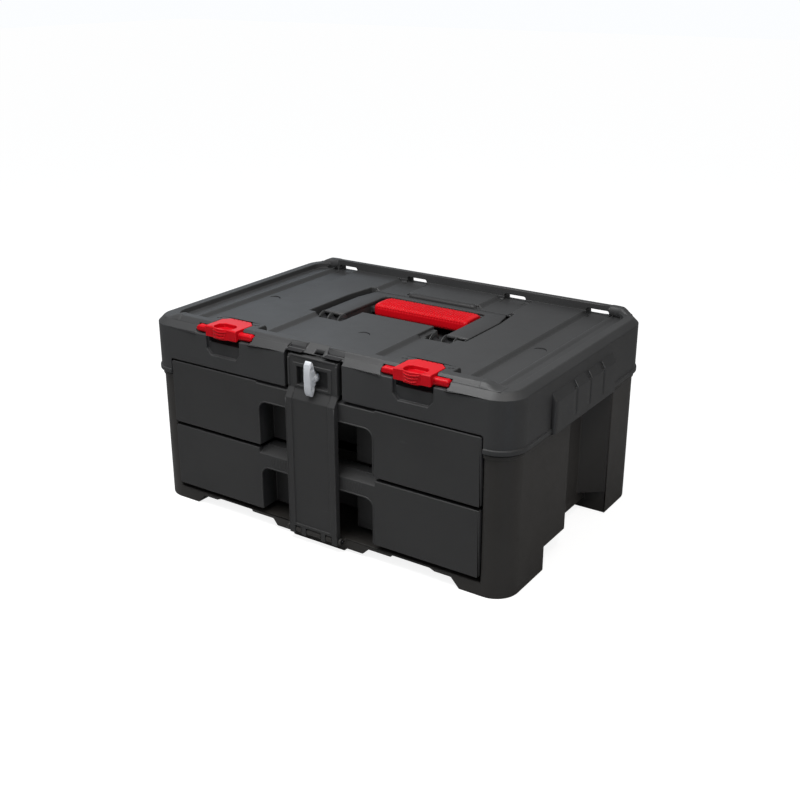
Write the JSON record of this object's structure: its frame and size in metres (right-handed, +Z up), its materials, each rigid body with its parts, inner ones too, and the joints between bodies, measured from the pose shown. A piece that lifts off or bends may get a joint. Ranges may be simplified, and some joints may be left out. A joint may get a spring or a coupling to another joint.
{
  "type": "portable tool box with drawers",
  "caption": "Stackable charcoal tool box with two drawers, a fold-down front bar with a lock knob, a folding red-gripped handle and red lid latches.",
  "frame": {"origin": "centre of the bounding box's footprint at the level of the feet, with all drawers shut, the bar up and the handle and latches down", "axes": "+X to the right as seen from the front, -Y towards the drawers' fronts, +Z up"},
  "size_m": [0.491, 0.344, 0.231],
  "materials": {
    "charcoal_plastic": "satin, fine grain",
    "red_plastic": "semi-gloss",
    "grey_plastic": "satin",
    "steel": "zinc plated"
  },
  "bodies": {
    "case": {"cabinet_shell": "charcoal_plastic", "lid_cover": "charcoal_plastic", "lid_screws": "steel", "upper_left_outer_rail": "steel", "upper_right_outer_rail": "steel", "lower_left_outer_rail": "steel", "lower_right_outer_rail": "steel", "rail_screws": "steel", "handle_pins": "steel", "latch_left_pin": "steel", "latch_right_pin": "steel", "bar_hinge_pin": "steel"},
    "upper_drawer": {"upper_drawer_front": "charcoal_plastic", "upper_drawer_tray": "charcoal_plastic", "upper_front_screws": "steel", "upper_left_inner_rail": "steel", "upper_right_inner_rail": "steel"},
    "lower_drawer": {"lower_drawer_front": "charcoal_plastic", "lower_drawer_tray": "charcoal_plastic", "lower_front_screws": "steel", "lower_left_inner_rail": "steel", "lower_right_inner_rail": "steel"},
    "handle": {"handle_frame": "charcoal_plastic", "handle_grip": "red_plastic"},
    "left_latch": {"latch_left": "red_plastic"},
    "right_latch": {"latch_right": "red_plastic"},
    "bar": {"front_bar": "charcoal_plastic", "bar_back_plate": "charcoal_plastic", "bar_plate_screws": "steel"},
    "knob": {"lock_knob": "grey_plastic", "knob_cam": "steel", "knob_screw": "steel"}
  },
  "joints": [
    {"name": "front_bar_fold", "type": "hinge", "parent": "case", "child": "bar", "pos_m": [0, -0.1645, 0.014], "axis": [1, 0, 0], "range_deg": [0, 90]},
    {"name": "lock_knob_turn", "type": "hinge", "parent": "bar", "child": "knob", "pos_m": [0, -0.1615, 0.1985], "axis": [0, -1, 0], "range_deg": [0, 90]},
    {"name": "upper_drawer_slide", "type": "slide", "parent": "case", "child": "upper_drawer", "axis": [0, -1, 0], "range_m": [0, 0.205]},
    {"name": "lower_drawer_slide", "type": "slide", "parent": "case", "child": "lower_drawer", "axis": [0, -1, 0], "range_m": [0, 0.095]},
    {"name": "handle_fold", "type": "hinge", "parent": "case", "child": "handle", "pos_m": [0, -0.01, 0.206], "axis": [1, 0, 0], "range_deg": [0, 90]},
    {"name": "left_latch_flip", "type": "hinge", "parent": "case", "child": "left_latch", "pos_m": [-0.126, -0.1545, 0.2236], "axis": [1, 0, 0], "range_deg": [0, 95]},
    {"name": "right_latch_flip", "type": "hinge", "parent": "case", "child": "right_latch", "pos_m": [0.126, -0.1545, 0.2236], "axis": [1, 0, 0], "range_deg": [0, 95]}
  ],
  "couplings": [
    {"joint": "upper_drawer_slide", "follows": "front_bar_fold", "m_per_rad": 0.13},
    {"joint": "lower_drawer_slide", "follows": "front_bar_fold", "m_per_rad": 0.06}
  ]
}
